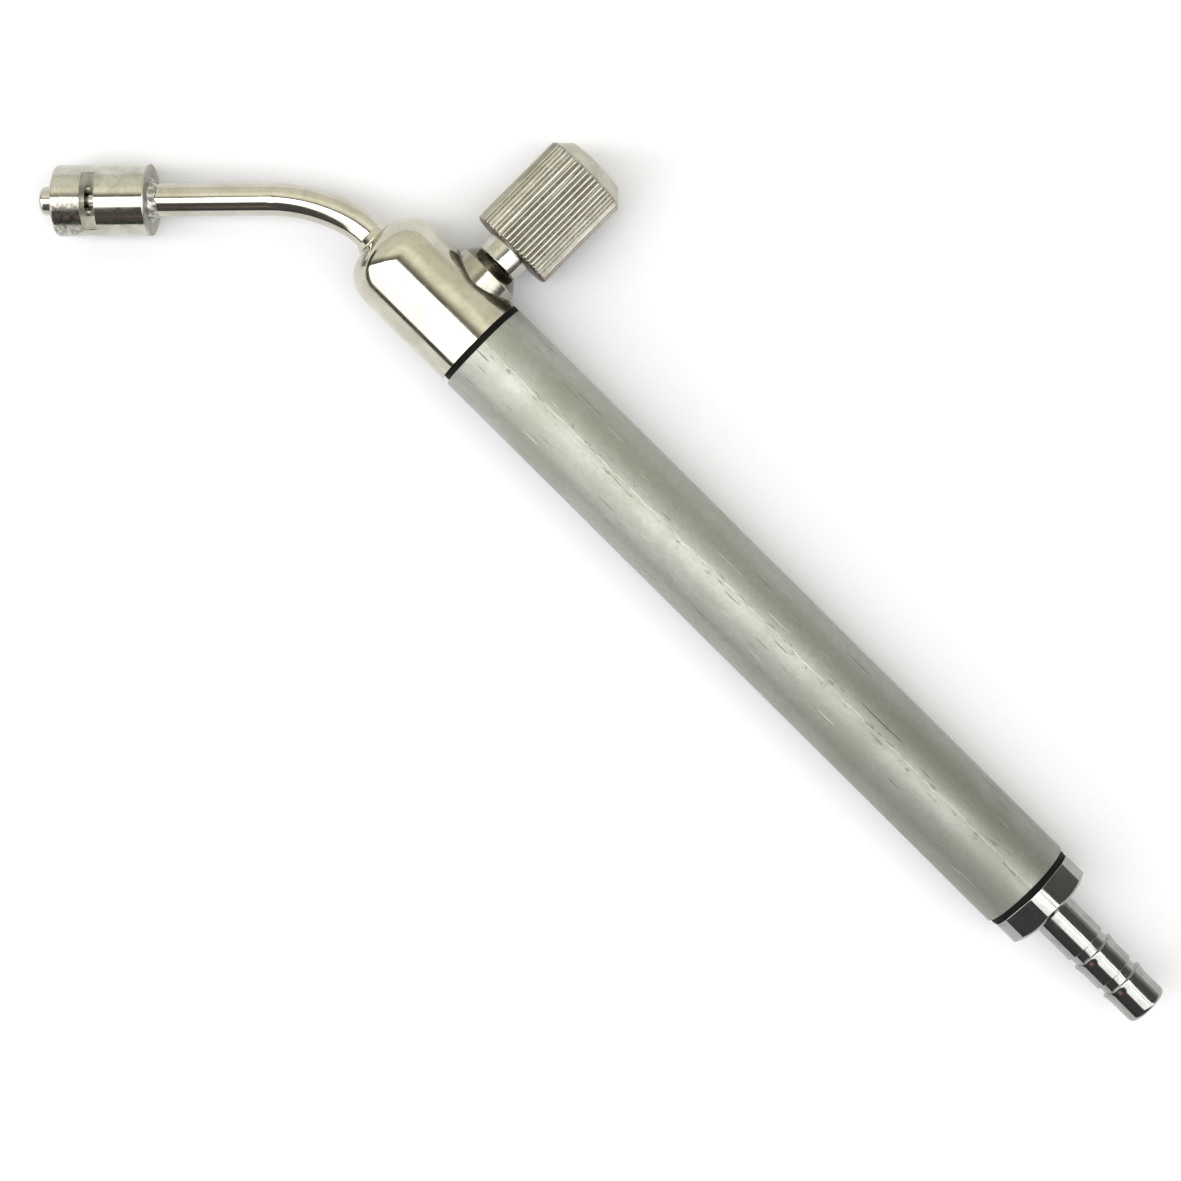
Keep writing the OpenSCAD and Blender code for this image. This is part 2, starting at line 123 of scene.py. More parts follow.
class Graph:
    """Builds a node tree, with one call for each node."""

    def __init__(self, tree):
        self.tree = tree
        tree.nodes.clear()

    def add(self, kind, inputs=None, **settings):
        node = self.tree.nodes.new(kind)
        for name, value in settings.items():
            setattr(node, name, value)
        for name, value in (inputs or {}).items():
            if isinstance(value, bpy.types.NodeSocket):
                self.tree.links.new(value, node.inputs[name])
            else:
                node.inputs[name].default_value = value
        return node

    def math(self, operation, first, second=0.0, clamp=False):
        node = self.add("ShaderNodeMath", {0: first, 1: second}, operation=operation, use_clamp=clamp)
        return node.outputs[0]

    def plus(self, *values):
        total = values[0]
        for value in values[1:]:
            total = self.math("ADD", total, value)
        return total

    def minus(self, first, second):
        return self.math("SUBTRACT", first, second)

    def times(self, *values):
        product = values[0]
        for value in values[1:]:
            product = self.math("MULTIPLY", product, value)
        return product

    def largest(self, *values):
        result = values[0]
        for value in values[1:]:
            result = self.math("MAXIMUM", result, value)
        return result

    def opposite(self, value):
        """1 where the value is 0, and 0 where it is 1."""
        return self.minus(1.0, value)

    def hypotenuse(self, first, second):
        return self.math("SQRT", self.plus(self.times(first, first), self.times(second, second)))

    def step(self, value, low, high):
        """0 below low, 1 above high, and smooth between them."""
        names = {"Value": value, "From Min": low, "From Max": high}
        return self.add("ShaderNodeMapRange", names, interpolation_type="SMOOTHSTEP").outputs[0]

    def band(self, value, middle, half, soft):
        """1 near the middle, 0 beyond half of the width, with soft edges."""
        away = self.math("ABSOLUTE", self.minus(value, middle))
        return self.opposite(self.step(away, half - soft, half + soft))

    def spread(self, value, low, high):
        """Turns 0..1 into low..high."""
        names = {"Value": value, "To Min": low, "To Max": high}
        return self.add("ShaderNodeMapRange", names).outputs[0]

    def mix(self, factor, first, second):
        names = {"Factor": factor, 6: first, 7: second}
        return self.add("ShaderNodeMix", names, data_type="RGBA").outputs[2]

    def tint(self, colour, mask, amount, other):
        """The colour, with an amount of another one mixed in where the mask is 1."""
        return self.mix(self.times(mask, amount), colour, other)

    def vector(self, operation, first, second=None, scale=None):
        names = {0: first}
        if second is not None:
            names[1] = second
        if scale is not None:
            names["Scale"] = scale
        return self.add("ShaderNodeVectorMath", names, operation=operation)

    def dot(self, first, second):
        return self.vector("DOT_PRODUCT", first, second).outputs["Value"]

    def scaled(self, vector, scale):
        return self.vector("SCALE", vector, scale=scale).outputs[0]

    def less(self, first, second):
        return self.vector("SUBTRACT", first, second).outputs[0]

    def parts(self, vector):
        return self.add("ShaderNodeSeparateXYZ", {0: vector}).outputs

    def on_x(self, value):
        """A vector along X, for noise that changes in one direction only."""
        return self.add("ShaderNodeCombineXYZ", {0: value}).outputs[0]

    def place(self):
        """Position on the surface in millimetres."""
        return self.scaled(self.add("ShaderNodeTexCoord").outputs["Object"], 1 / MM)

    def noise(self, place, scale, detail=3.0, roughness=0.5, distortion=0.0):
        names = {
            "Vector": place,
            "Scale": scale,
            "Detail": detail,
            "Roughness": roughness,
            "Distortion": distortion,
        }
        return self.add("ShaderNodeTexNoise", names).outputs[0]

    def grain(self, place, along, fine, coarse, detail=3.0, roughness=0.5):
        """Noise that runs along a direction: fine across it, and coarse along it."""
        run = self.scaled(along, self.dot(place, along))
        across = self.scaled(self.less(place, run), fine)
        stretched = self.vector("ADD", across, self.scaled(run, coarse)).outputs[0]
        return self.noise(stretched, 1.0, detail=detail, roughness=roughness)


class Paint:
    """A new material with its graph, and the socket of its colour once that is built."""

    def __init__(self, name):
        self.material = bpy.data.materials.new(name)
        self.material.use_nodes = True
        self.graph = Graph(self.material.node_tree)
        self.colour = None

    def finish(self, shine, height, metallic=1.0, **constants):
        """The material from its colour, its roughness and its height in millimetres."""
        names = {"Height": height, "Distance": MM, "Strength": 1.0}
        bump = self.graph.add("ShaderNodeBump", names).outputs[0]
        names = {"Base Color": self.colour, "Roughness": shine, "Metallic": metallic, "Normal": bump}
        names.update(constants)
        shader = self.graph.add("ShaderNodeBsdfPrincipled", names)
        self.graph.add("ShaderNodeOutputMaterial", {"Surface": shader.outputs[0]})
        return self.material


def plated(name, light, dark, gloss, rough, cloud=0.12, wave=0.35, wave_depth=0.006,
           along=GRIP_AXIS, specks=0.5, ripple=0.3, darkening=None):
    """Bright plating: cloudy tarnish, a slightly wavy surface, fine polishing lines and pits.

    cloud and wave are noise scales per millimetre, and ripple is the depth of small waves as a part
    of wave_depth. darkening is a function that returns where the surface is darkened (real dirt on
    the head, painted shade round the boss on the body), how far the surface is roughened, and where the
    metal is bare.
    """
    paint = Paint(name)
    graph = paint.graph
    place = graph.place()
    clouds = graph.noise(place, scale=cloud, detail=5.0, roughness=0.6, distortion=0.6)
    clouds = graph.step(clouds, low=0.36, high=0.66)
    blotches = graph.noise(place, scale=cloud * 6, detail=4.0, roughness=0.65)
    blotches = graph.step(blotches, low=0.45, high=0.7)
    tarnish = graph.plus(graph.times(clouds, 0.7), graph.times(blotches, 0.3))
    pits = graph.noise(place, scale=3.2, detail=2.0, roughness=0.7)
    pits = graph.times(graph.step(pits, low=0.70, high=0.76), specks)
    lines = graph.grain(place, along, fine=9.0, coarse=0.35, detail=3.0, roughness=0.7)
    paint.colour = graph.mix(pits, graph.mix(tarnish, light, dark), DIRT_AND_SHADE)
    shine = graph.plus(
        graph.spread(tarnish, low=gloss, high=rough),
        graph.times(pits, 0.3),
        graph.times(lines, 0.03),
    )
    waves = graph.noise(place, scale=wave, detail=2.0, roughness=0.45)
    ripples = graph.noise(place, scale=wave * 7, detail=3.0, roughness=0.6)
    height = graph.plus(
        graph.times(waves, wave_depth),
        graph.times(ripples, wave_depth * ripple),
        graph.times(lines, 0.0012),
        graph.times(pits, -0.008),
    )
    if darkening:
        darkened, worn, bare = darkening(graph, place)
        # The dark dirt colour mixed in here is real dirt on the head, and painted shade round the boss
        # on the valve body.
        paint.colour = graph.mix(darkened, graph.mix(bare, paint.colour, BARE), DIRT_AND_SHADE)
        shine = graph.plus(shine, graph.times(worn, 0.28))
        grit = graph.noise(place, scale=2.6, detail=3.0, roughness=0.7)
        height = graph.plus(height, graph.times(grit, worn, 0.05))
    return paint.finish(shine, height)


def boss_painted_shade(graph, place):
    """Painted shade on the boss's cone, in its crease and on the lower side towards the knob, and a
    rougher crease.
    """
    x, y, z = graph.parts(graph.less(place, KNOB_CENTRE))
    radius = graph.hypotenuse(x, z)
    patchy = graph.noise(place, scale=0.6, detail=4.0, roughness=0.6)
    patchy = graph.spread(patchy, low=0.55, high=1.25)
    # Painted shade: the boss's cone, the crease round its base and the body's lower side towards the
    # knob are darkened where shade falls.
    cone = graph.step(y, low=BOSS_CONE, high=BOSS_CONE + 0.25)
    crease = graph.band(radius, middle=BOSS_RADIUS + 0.5, half=0.45, soft=0.45)
    crease = graph.times(crease, graph.step(y, low=4.0, high=7.0))
    below = graph.opposite(graph.step(z, low=-3.0, high=6.0))
    shade_below = graph.times(graph.step(y, low=5.0, high=8.5), below, 0.36)
    darkened = graph.times(graph.largest(cone, crease, shade_below), patchy)
    darkened = graph.math("MULTIPLY", darkened, 0.9, clamp=True)
    return darkened, graph.times(crease, 0.6), 0.0


def head_grime(graph, place):
    """Rough metal in the head's windows, and a pitted patch on the lower front of the head."""
    from_front = graph.less(place, HEAD_FRONT)
    along = graph.dot(from_front, HEAD_AXIS)
    run = graph.times(along, -1.0)
    out = graph.less(from_front, graph.scaled(HEAD_AXIS, along))
    radius = graph.vector("LENGTH", out).outputs["Value"]
    inside = graph.opposite(graph.step(radius, low=HEAD_RADIUS - 0.35, high=HEAD_RADIUS - 0.15))
    window = graph.band(run, middle=WINDOW_MIDDLE, half=WINDOW_HALF + 0.2, soft=0.1)
    window = graph.times(inside, window)
    rear = graph.step(run, low=HEAD_LENGTH - 0.4, high=HEAD_LENGTH - 0.2)
    patch = graph.times(
        graph.step(graph.dot(out, PITTED_SIDE), low=4.0, high=6.4),
        graph.opposite(graph.step(run, low=5.4, high=6.2)),
    )
    spots = graph.noise(place, scale=1.1, detail=5.0, roughness=0.7)
    spots = graph.step(spots, low=0.40, high=0.62)
    darkened = graph.plus(graph.times(patch, spots, 0.75), graph.times(rear, 0.25))
    worn = graph.largest(window, rear, graph.times(patch, 0.25))
    return darkened, worn, window


def scratch_highlight_and_nicks(graph, place):
    """A thin scratched line that wavers along the top of the grip, its lighter colour a painted
    highlight, and the nicks beside it.
    """
    x, y, z = graph.parts(place)
    waver = graph.noise(graph.on_x(x), scale=0.12, detail=6.0, roughness=0.65)
    side = graph.plus(y, graph.times(graph.minus(waver, 0.5), 2.6))
    upper = graph.step(z, low=2.0, high=4.0)
    broken = graph.grain(place, GRIP_AXIS, fine=3.0, coarse=0.35, detail=4.0, roughness=0.7)
    broken = graph.step(broken, low=0.40, high=0.55)
    # Painted highlight: the scratched line along the top is coloured lighter where the grip's highlight
    # falls.
    scratch_and_highlight = graph.times(graph.band(side, middle=0.2, half=0.12, soft=0.12), upper, broken)
    nicks = graph.grain(place, GRIP_AXIS, fine=1.1, coarse=0.28, detail=3.0, roughness=0.6)
    nicks = graph.step(nicks, low=0.60, high=0.645)
    near = graph.times(graph.band(side, middle=0.2, half=1.2, soft=0.9), upper)
    return scratch_and_highlight, graph.times(nicks, near)


def satin_aluminium():
    """Drawn and satin-anodised tube, with thin bright and dark scratches along it, a scratched line
    painted lighter as a highlight, and painted shade that darkens the tube towards the tail.
    """
    paint = Paint("satin_aluminium")
    graph = paint.graph
    place = graph.place()
    fine = graph.grain(place, GRIP_AXIS, fine=5.0, coarse=0.06, detail=4.0, roughness=0.7)
    broad = graph.grain(place, GRIP_AXIS, fine=0.5, coarse=0.02, detail=3.0, roughness=0.6)
    smudge = graph.noise(place, scale=0.05, detail=5.0, roughness=0.62, distortion=0.8)
    smudge = graph.step(smudge, low=0.42, high=0.68)
    mottle = graph.noise(place, scale=0.9, detail=5.0, roughness=0.7)
    cuts = graph.grain(place, GRIP_AXIS, fine=2.4, coarse=0.10, detail=1.5, roughness=0.5)
    bright_cuts = graph.step(cuts, low=0.71, high=0.75)
    dark_cuts = graph.opposite(graph.step(cuts, low=0.265, high=0.305))
    dents = graph.noise(place, scale=0.55, detail=2.0, roughness=0.6)
    dents = graph.step(dents, low=0.735, high=0.765)
    dust = graph.noise(place, scale=2.2, detail=3.0, roughness=0.7)
    dust = graph.step(dust, low=0.66, high=0.76)
    scratch_and_highlight, nicks = scratch_highlight_and_nicks(graph, place)
    colour = graph.mix(smudge, (0.350, 0.358, 0.320, 1), (0.300, 0.312, 0.255, 1))
    layers = (
        (graph.step(mottle, low=0.3, high=0.7), 0.55, (0.255, 0.262, 0.235, 1)),
        (fine, 0.25, (0.42, 0.43, 0.40, 1)),
        (bright_cuts, 0.55, (0.72, 0.72, 0.68, 1)),
        (dark_cuts, 0.7, (0.10, 0.10, 0.085, 1)),
        (dents, 0.45, (0.11, 0.11, 0.085, 1)),
        (dust, 0.5, (0.16, 0.155, 0.13, 1)),
        (nicks, 0.55, (0.10, 0.10, 0.075, 1)),
        # painted highlight: the lighter colour of the scratched line along the top
        (scratch_and_highlight, 0.4, (0.58, 0.58, 0.53, 1)),
    )
    for mask, amount, other in layers:
        colour = graph.tint(colour, mask, amount, other)
    # Painted shade: the colour is scaled from 1.18 at the head end down to 0.80 at the tail end, for how
    # the light falls along the grip.
    along = graph.parts(place)[0]
    painted_shade_along_grip = graph.spread(graph.step(along, low=-110.0, high=90.0), low=1.18, high=0.80)
    paint.colour = graph.scaled(colour, painted_shade_along_grip)
    shine = graph.plus(
        graph.spread(smudge, low=0.38, high=0.44),
        graph.times(mottle, 0.06),
        graph.times(bright_cuts, -0.12),
        graph.times(dark_cuts, 0.1),
        graph.times(scratch_and_highlight, -0.1),
    )
    height = graph.plus(
        graph.times(fine, 0.012),
        graph.times(broad, 0.02),
        graph.times(bright_cuts, -0.01),
        graph.times(dark_cuts, -0.02),
        graph.times(dents, -0.03),
        graph.times(nicks, -0.03),
        graph.times(scratch_and_highlight, 0.008),
    )
    return paint.finish(shine, height, metallic=0.78)


def turned(name, light, dark, gloss, centre, along):
    """Turned metal: fine rings round an axis, with light tarnish between them."""
    paint = Paint(name)
    graph = paint.graph
    place = graph.less(graph.place(), centre)
    rings = graph.noise(graph.on_x(graph.dot(place, along)), scale=9.0, detail=4.0, roughness=0.8)
    clouds = graph.noise(place, scale=0.35, detail=5.0, roughness=0.6, distortion=0.5)
    clouds = graph.step(clouds, low=0.4, high=0.7)
    specks = graph.step(graph.noise(place, scale=3.5, detail=2.0), low=0.70, high=0.78)
    scratches = graph.grain(place, along, fine=3.0, coarse=0.3)
    scratches = graph.step(scratches, low=0.66, high=0.72)
    colour = graph.mix(clouds, light, dark)
    colour = graph.tint(colour, rings, 0.25, dark)
    colour = graph.tint(colour, scratches, 0.3, light)
    paint.colour = graph.tint(colour, specks, 0.5, (0.22, 0.20, 0.16, 1))
    shine = graph.plus(
        graph.spread(clouds, low=gloss, high=gloss + 0.08),
        graph.times(rings, 0.05),
        graph.times(specks, 0.2),
    )
    height = graph.plus(
        graph.times(rings, 0.004),
        graph.times(scratches, -0.002),
        graph.times(specks, -0.005),
    )
    return paint.finish(shine, height)


def knurled_nickel():
    """Plating on the knob: dull in the grooves, and worn bright on the tops of the ridges."""
    paint = Paint("knurled_nickel")
    graph = paint.graph
    place = graph.place()
    x, y, z = graph.parts(graph.less(place, KNOB_CENTRE))
    top = graph.step(graph.hypotenuse(x, z), low=KNOB_RADIUS - RIDGE_DEPTH * 0.62,
                     high=KNOB_RADIUS - RIDGE_DEPTH * 0.18)
    clouds = graph.noise(place, scale=0.25, detail=5.0, roughness=0.6, distortion=0.5)
    clouds = graph.step(clouds, low=0.38, high=0.66)
    grit = graph.noise(place, scale=2.2, detail=4.0, roughness=0.7)
    cuts = graph.grain(place, KNOB_AXIS, fine=4.0, coarse=0.3, detail=3.0, roughness=0.6)
    streaks = graph.grain(place, KNOB_AXIS, fine=0.8, coarse=0.04, detail=3.0, roughness=0.7)
    chamfer_start = KNOB_TOP - KNOB_CHAMFER
    knurled = graph.opposite(graph.step(y, low=chamfer_start, high=chamfer_start + 0.7))
    darkening = graph.times(
        graph.opposite(top),
        graph.step(streaks, low=0.32, high=0.50),
        graph.spread(graph.step(grit, low=0.35, high=0.7), low=0.6, high=1.0),
        knurled,
    )
    grit = graph.times(grit, graph.spread(knurled, low=0.25, high=1.0))
    colour = graph.mix(clouds, (0.55, 0.535, 0.46, 1), (0.45, 0.43, 0.35, 1))
    colour = graph.tint(colour, darkening, 0.95, (0.08, 0.068, 0.048, 1))
    paint.colour = graph.tint(colour, top, 0.3, (0.66, 0.65, 0.60, 1))
    shine = graph.plus(
        graph.spread(top, low=0.34, high=0.24),
        graph.times(grit, 0.10),
        graph.times(cuts, 0.06),
    )
    height = graph.plus(graph.times(grit, 0.02), graph.times(cuts, 0.03))
    return paint.finish(shine, height)


def soft_solder():
    """Lumpy tin solder, bright on its high spots and grey between them."""
    paint = Paint("soft_solder")
    graph = paint.graph
    place = graph.place()
    lumps = graph.noise(place, scale=1.1, detail=4.0, roughness=0.65)
    grain = graph.noise(place, scale=5.0, detail=3.0, roughness=0.7)
    spots = graph.step(lumps, low=0.42, high=0.62)
    colour = graph.mix(spots, (0.30, 0.29, 0.26, 1), (0.66, 0.65, 0.61, 1))
    paint.colour = graph.mix(graph.step(grain, low=0.62, high=0.75), colour, (0.16, 0.15, 0.12, 1))
    shine = graph.plus(graph.spread(spots, low=0.42, high=0.22), graph.times(grain, 0.1))
    height = graph.plus(graph.times(lumps, 0.16), graph.times(grain, 0.02))
    return paint.finish(shine, height)


def black_rubber():
    """Black sealing rubber, matt, with a fine moulded grain and a little dust."""
    paint = Paint("black_rubber")
    graph = paint.graph
    place = graph.place()
    grain = graph.noise(place, scale=6.0, detail=3.0, roughness=0.7)
    dust = graph.noise(place, scale=1.3, detail=4.0, roughness=0.7)
    dust = graph.step(dust, low=0.55, high=0.8)
    colour = graph.mix(grain, (0.003, 0.003, 0.003, 1), (0.008, 0.0078, 0.007, 1))
    paint.colour = graph.tint(colour, dust, 0.2, (0.03, 0.028, 0.024, 1))
    shine = graph.spread(grain, low=0.5, high=0.75)
    height = graph.times(grain, 0.02)
    return paint.finish(shine, height, metallic=0.0, **{"Specular IOR Level": 0.1})


def spring_steel():
    """Drawn wire, darkened to a dark grey as painted shade, with fine lines and small rust-brown spots.
    """
    paint = Paint("spring_steel")
    graph = paint.graph
    place = graph.place()
    lines = graph.noise(place, scale=4.0, detail=5.0, roughness=0.75)
    spots = graph.step(graph.noise(place, scale=1.7, detail=3.0), low=0.62, high=0.75)
    # Painted shade: the wire's greys are kept dark for the shade it sits in.
    colour = graph.mix(lines, (0.12, 0.12, 0.115, 1), (0.20, 0.20, 0.19, 1))
    paint.colour = graph.tint(colour, spots, 0.5, (0.30, 0.22, 0.14, 1))
    shine = graph.spread(lines, low=0.22, high=0.4)
    return paint.finish(shine, graph.times(lines, 0.01))


def pale_table():
    """Plain pale table top with a faint even grain."""
    paint = Paint("pale_table")
    graph = paint.graph
    grain = graph.noise(graph.place(), scale=0.6, detail=3.0, roughness=0.6)
    paint.colour = graph.mix(grain, (0.778, 0.782, 0.818, 1), (0.798, 0.802, 0.838, 1))
    shine = graph.spread(grain, low=0.6, high=0.7)
    return paint.finish(shine, graph.times(grain, 0.01), metallic=0.0)


def welded(node):
    """The CAD node's own shape as a bmesh, with its triangles joined up."""
    work = bmesh.new()
    work.from_mesh(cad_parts[node].data)
    bmesh.ops.remove_doubles(work, verts=work.verts, dist=WELD)
    return work


def finished(node, body, slot, material, width, shift=(0, 0, 0)):
    """The CAD node's own shape with its edges rounded over, standing for the node."""
    work = welded(node)
    bmesh.ops.dissolve_limit(work, angle_limit=FLAT_ANGLE, verts=work.verts, edges=work.edges,
                             delimit={"NORMAL"})
    sharp = [edge for edge in work.edges if edge.calc_face_angle(0.0) > EDGE_ANGLE]
    bmesh.ops.bevel(work, geom=sharp, offset=width * MM, segments=EDGE_SEGMENTS, profile=0.5,
                    affect="EDGES", clamp_overlap=True)
    for vertex in work.verts:
        vertex.co += Vector(shift) * MM
    return made(work, node + "_finish", body, slot, material, node)


def made(work, name, body, slot, material, *nodes):
    """Turns a bmesh into a smooth-shaded piece that rides on a body and stands for CAD nodes."""
    mesh = bpy.data.meshes.new(name)
    for face in work.faces:
        face.smooth = True
    work.to_mesh(mesh)
    work.free()
    mesh.materials.append(material)
    piece = bpy.data.objects.new(name, mesh)
    bpy.context.scene.collection.objects.link(piece)
    piece.modifiers.new("even_shading", "WEIGHTED_NORMAL").keep_sharp = True
    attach(piece, body)
    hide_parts(*nodes)
    return piece


def solder(node, material, size, depth, seed):
    """Lumpy solder: the CAD ring, divided finely and pushed in and out along its normals."""
    longest = 0.5
    work = welded(node)
    long_edges = [edge for edge in work.edges if edge.calc_length() > longest * MM]
    bmesh.ops.subdivide_edges(work, edges=long_edges, cuts=2, use_grid_fill=True)
    bmesh.ops.triangulate(work, faces=work.faces)
    work.normal_update()
    start = Vector((seed, seed * 0.7, 0))
    for vertex in work.verts:
        lump = noise.noise(vertex.co / MM / size + start)
        vertex.co += vertex.normal * lump * depth * MM
    return made(work, node + "_finish", "wand", "solder", material, node)


def knob_radius(angle, height, worn):
    """Radius of the knob at an angle and a height above its base, within the knurl and both chamfers."""
    ridge = 0.5 + 0.5 * math.cos(angle * KNOB_RIDGES)
    knurl = KNOB_RADIUS - worn - RIDGE_DEPTH * (1 - ridge ** RIDGE_SHARPNESS)
    outer = KNOB_RADIUS - KNOB_CHAMFER + (KNOB_LENGTH - height)
    inner = KNOB_RADIUS - KNOB_BASE_CHAMFER + height
    return min(knurl, outer, inner)


def knob_rings():
    """Heights and radii of the rings of the knob's skin; a radius of None means the knurled outside."""
    first, last = BASE_RINGS[-1], KNOB_LENGTH - KNOB_CHAMFER
    heights = list(BASE_RINGS)
    heights += [first + (last - first) * i / KNURL_RINGS for i in range(1, KNURL_RINGS + 1)]
    heights += [last + FADE_STEP * i for i in range(1, FADE_RINGS + 1)]
    heights += [KNOB_LENGTH - distance for distance in END_RINGS]
    end_radius = KNOB_RADIUS - KNOB_CHAMFER
    rings = [(0.05, KNOB_BORE), (0.0, KNOB_BORE + 0.05)]
    rings += [(height, None) for height in heights]
    rings += [
        (KNOB_LENGTH - 0.02, end_radius - 0.06),
        (KNOB_LENGTH, end_radius - 0.2),
        (KNOB_LENGTH, RECESS_RADIUS + 0.2),
        (KNOB_LENGTH - 0.03, RECESS_RADIUS + 0.05),
        (KNOB_LENGTH - 0.15, RECESS_RADIUS),
        (KNOB_LENGTH - RECESS_DEPTH, RECESS_RADIUS),
        (KNOB_LENGTH - RECESS_DEPTH, SCREW_BORE),
        (KNOB_STUB, SCREW_BORE),
        (KNOB_STUB, KNOB_BORE),
    ]
    return rings


def knob():
    """The knob's knurl, chamfers, end face, recess and bore as one skin, lofted ring by ring."""
    rng = random.Random(SEED)
    worn = [rng.uniform(0.0, RIDGE_WEAR) for _ in range(KNOB_RIDGES)]
    steps = KNOB_RIDGES * RIDGE_POINTS
    work = bmesh.new()
    skin = []
    for height, radius in knob_rings():
        ring = []
        for i in range(steps):
            angle = math.tau * i / steps
            here = radius
            if here is None:
                here = knob_radius(angle, height, worn[round(i / RIDGE_POINTS) % KNOB_RIDGES])
            place = (KNOB_X + here * math.cos(angle), KNOB_BASE + height, here * math.sin(angle))
            ring.append(work.verts.new(Vector(place) * MM))
        skin.append(ring)
    for lower, upper in zip(skin, skin[1:] + skin[:1]):
        for i in range(steps):
            j = (i + 1) % steps
            work.faces.new((lower[i], lower[j], upper[j], upper[i]))
    bmesh.ops.recalc_face_normals(work, faces=work.faces)
    return work


def window_light(graph, colour, x, y):
    """One very large soft window, with shade beside it, over the colour of the walls."""
    slope = graph.minus(graph.times(x, 0.9), y)
    near_tail = graph.step(x, low=0.12, high=0.17)
    slope = graph.plus(slope, graph.times(near_tail, 0.10))
    shade = graph.step(slope, low=-0.50, high=-0.12)
    colour = graph.mix(shade, colour, (0.12, 0.11, 0.09, 1))
    strip = graph.band(slope, middle=0.10, half=0.14, soft=0.05)
    pane = graph.mix(strip, (2.4, 2.4, 2.36, 1), (5.2, 5.2, 5.1, 1))
    colour = graph.mix(graph.step(slope, low=-0.08, high=-0.04), colour, pane)
    bar = graph.times(graph.band(slope, middle=0.10, half=0.045, soft=0.02), near_tail)
    return graph.mix(bar, colour, (0.10, 0.10, 0.098, 1))


def dark_room(graph, colour, direction, x, y):
    """The dark part of the room, with one warm patch in it."""
    across = graph.minus(graph.times(x, 0.8), y)
    room = graph.times(graph.step(across, low=0.60, high=0.65), graph.step(x, low=0.02, high=0.06))
    warm = graph.dot(direction, (0.38, -0.74, 0.556))
    warm = graph.times(graph.step(warm, low=0.981, high=0.992), graph.step(x, low=0.34, high=0.40))
    room_colour = graph.mix(warm, (0.10, 0.10, 0.098, 1), (0.47, 0.28, 0.24, 1))
    return graph.mix(room, colour, room_colour)


def back_of_room(graph, colour, x, y, z):
    """The wall behind the tail, darker higher up, and a dark skirting opposite the knob."""
    back = graph.times(graph.step(y, low=0.37, high=0.43), graph.step(x, low=0.05, high=0.11))
    high_up = graph.step(z, low=0.1, high=0.5)
    back_colour = graph.mix(high_up, (0.55, 0.55, 0.52, 1), (0.15, 0.15, 0.14, 1))
    colour = graph.mix(back, colour, back_colour)
    near_floor = graph.opposite(graph.step(z, low=0.13, high=0.16))
    skirting = graph.times(graph.step(graph.times(y, -1.0), low=0.1, high=0.25), near_floor)
    return graph.mix(skirting, colour, (0.06, 0.055, 0.05, 1))


def studio():
    """Soft daylight from every direction. The camera itself sees a plain pale background."""
    world = bpy.data.worlds.new("studio")
    world.use_nodes = True
    bpy.context.scene.world = world
    graph = Graph(world.node_tree)
    direction = graph.add("ShaderNodeTexCoord").outputs["Generated"]
    x, y, z = graph.parts(direction)
    walls = graph.mix(graph.step(z, low=0.0, high=0.6), (0.86, 0.84, 0.76, 1), (0.98, 0.95, 0.82, 1))
    cornice = graph.band(z, middle=0.84, half=0.10, soft=0.10)
    colour = graph.mix(cornice, walls, (1.28, 1.24, 1.05, 1))
    colour = window_light(graph, colour, x, y)
    colour = dark_room(graph, colour, direction, x, y)
    colour = back_of_room(graph, colour, x, y, z)
    light = graph.add("ShaderNodeBackground", {"Color": colour, "Strength": 1.0})
    plain = graph.add("ShaderNodeBackground", {"Color": (0.97, 0.97, 0.97, 1), "Strength": 1.0})
    seen = graph.add("ShaderNodeLightPath").outputs["Is Camera Ray"]
    both = graph.add("ShaderNodeMixShader", {0: seen, 1: light.outputs[0], 2: plain.outputs[0]})
    graph.add("ShaderNodeOutputWorld", {"Surface": both.outputs[0]})


def floor():
    """Plain pale table top through the three points that the object rests on."""
    head, tail, knob_end = Vector(HEAD_REST), Vector(TAIL_REST), Vector(KNOB_REST)
    normal = (tail - head).cross(knob_end - head).normalized()
    mesh = bpy.data.meshes.new("table_top")
    corners = []
    for x_side, y_side in ((-1, -1), (1, -1), (1, 1), (-1, 1)):
        x, y = x_side * FLOOR_HALF, y_side * FLOOR_HALF
        z = head.z - (normal.x * (x - head.x) + normal.y * (y - head.y)) / normal.z
        corners.append(Vector((x, y, z)) * MM)
    mesh.from_pydata(corners, [], [(0, 1, 2, 3)])
    mesh.materials.append(pale_table())
    table = bpy.data.objects.new("table_top", mesh)
    bpy.context.scene.collection.objects.link(table)


def camera():
    data = bpy.data.cameras.new("camera")
    data.lens = CAMERA_LENS
    data.sensor_width = SENSOR_WIDTH
    data.clip_start = 0.01
    data.clip_end = 20.0
    eye = bpy.data.objects.new("camera", data)
    eye.location = CAMERA_PLACE
    eye.rotation_euler = Euler([math.radians(angle) for angle in CAMERA_TURN], "XYZ")
    bpy.context.scene.collection.objects.link(eye)
    bpy.context.scene.camera = eye


def keep(node, material):
    """A CAD node that stays as it is, with a finished material."""
    node_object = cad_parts[node]
    if not node_object.material_slots:
        node_object.data.materials.append(material)
    for material_slot in node_object.material_slots:
        material_slot.material = material


def plated_body():
    # The body's darkening is painted shade round the boss and on its lower side.
    return plated("nickel_body", light=(0.60, 0.585, 0.50, 1), dark=(0.46, 0.442, 0.355, 1),
                  gloss=0.06, rough=0.15, ripple=0.5, darkening=boss_painted_shade)


def plated_spout():
    return plated("nickel_spout", light=(0.60, 0.58, 0.51, 1), dark=(0.46, 0.44, 0.365, 1),
                  gloss=0.05, rough=0.14, along=HEAD_AXIS, wave=0.3, wave_depth=0.007,
                  specks=0.8, ripple=0.32)


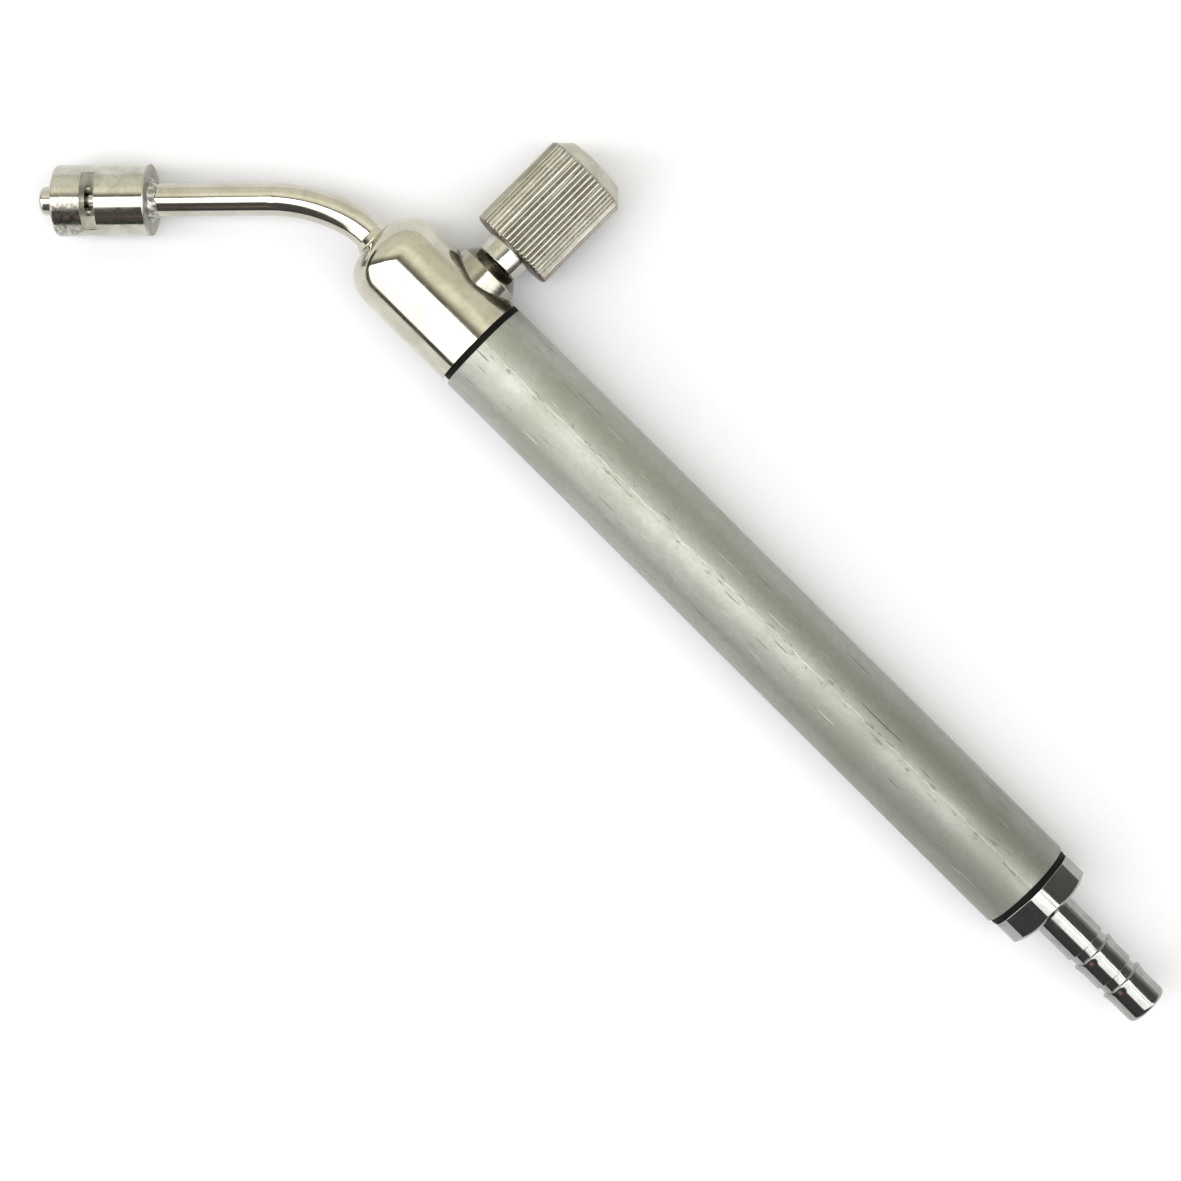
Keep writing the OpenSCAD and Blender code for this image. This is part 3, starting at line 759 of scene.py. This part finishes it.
def plated_head():
    return plated("nickel_head", light=(0.58, 0.575, 0.51, 1), dark=(0.40, 0.39, 0.33, 1),
                  gloss=0.06, rough=0.18, along=HEAD_AXIS, cloud=0.2, specks=0.7, darkening=head_grime)


def nickel_hub():
    return turned("nickel_hub", light=(0.57, 0.56, 0.50, 1), dark=(0.45, 0.44, 0.37, 1),
                  gloss=0.10, centre=KNOB_CENTRE, along=KNOB_AXIS)


def bright_nickel():
    return turned("bright_nickel", light=(0.38, 0.38, 0.37, 1), dark=(0.30, 0.30, 0.29, 1),
                  gloss=0.05, centre=ORIGIN, along=GRIP_AXIS)


def nickel_button():
    return turned("nickel_button", light=(0.57, 0.56, 0.51, 1), dark=(0.44, 0.43, 0.38, 1),
                  gloss=0.14, centre=HEAD_FRONT, along=HEAD_AXIS)


def plain_brass():
    return turned("plain_brass", light=(0.72, 0.52, 0.22, 1), dark=(0.48, 0.33, 0.14, 1),
                  gloss=0.22, centre=ORIGIN, along=GRIP_AXIS)


def screw_steel():
    return turned("screw_steel", light=(0.62, 0.62, 0.60, 1), dark=(0.44, 0.44, 0.42, 1),
                  gloss=0.2, centre=KNOB_CENTRE, along=KNOB_AXIS)


def build():
    """Every visible piece, and a finished material for each CAD node that stays as it is."""
    rubber = black_rubber()
    body = plated_body()
    button = nickel_button()
    brass = plain_brass()
    steel = spring_steel()
    finished("grip_tube", "wand", "grip", satin_aluminium(), width=0.15)
    finished("front_washer", "wand", "washer", rubber, width=0.2, shift=WASHER_SHIFT)
    finished("rear_washer", "wand", "washer", rubber, width=0.2)
    finished("valve_body", "wand", "nickel", body, width=0.2)
    finished("hose_tail", "wand", "bright_nickel", bright_nickel(), width=0.12)
    finished("spindle", "knob", "nickel", nickel_hub(), width=0.15)
    finished("head_body", "wand", "nickel", plated_head(), width=0.08)
    finished("foot_plunger", "plunger", "nickel", button, width=0.12)
    finished("spout_pipe", "wand", "nickel", plated_spout(), width=0.1)
    finished("knob_screw", "knob", "screw_steel", screw_steel(), width=0.12)
    made(knob(), "control_knob_finish", "knob", "knob_nickel", knurled_nickel(), "control_knob")
    solder("spout_solder", body, size=1.6, depth=0.10, seed=SEED + 1)
    solder("head_solder", soft_solder(), size=1.2, depth=0.3, seed=SEED + 2)
    for node in ("feed_pipe", "valve_needle", "valve_disc", "stem_nut"):
        keep(node, brass)
    keep("head_end_cap", button)
    for node in ("front_pipe_seal", "rear_pipe_seal", "spindle_oring", "disc_seal"):
        keep(node, rubber)
    for node in ("needle_clip", "foot_spring"):
        keep(node, steel)


bpy.context.scene.view_settings.view_transform = "Standard"
camera()
studio()
floor()
build()
